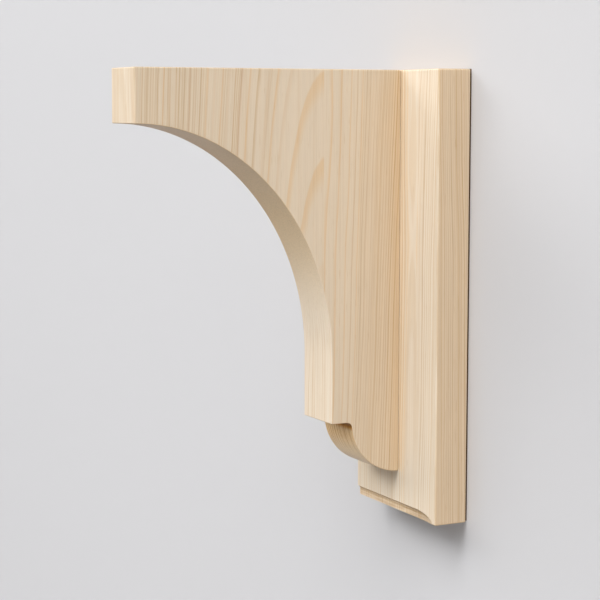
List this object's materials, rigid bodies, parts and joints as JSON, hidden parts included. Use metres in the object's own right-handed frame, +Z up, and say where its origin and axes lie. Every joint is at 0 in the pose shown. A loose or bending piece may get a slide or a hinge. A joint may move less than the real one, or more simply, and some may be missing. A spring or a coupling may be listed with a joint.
{
  "type": "wooden shelf bracket",
  "caption": "Pine shelf bracket: a thick coved arm with a small lip and quarter-round heel, set off-centre on a plain back plate whose lower front edge has a stopped moulding.",
  "frame": {"origin": "centre of the back plate's rear face, on the wall", "axes": "+Z up; +Y into the wall, so the arm reaches out along -Y; the arm sits off centre towards -X"},
  "size_m": [0.0904, 0.178, 0.25],
  "materials": {
    "plate_pine": "planed pale pine, upright straight grain, satin",
    "arm_pine": "planed pale pine, upright grain with an arched figure, satin"
  },
  "bodies": {
    "root": {"back_plate": "plate_pine", "arm": "arm_pine"}
  },
  "joints": []
}
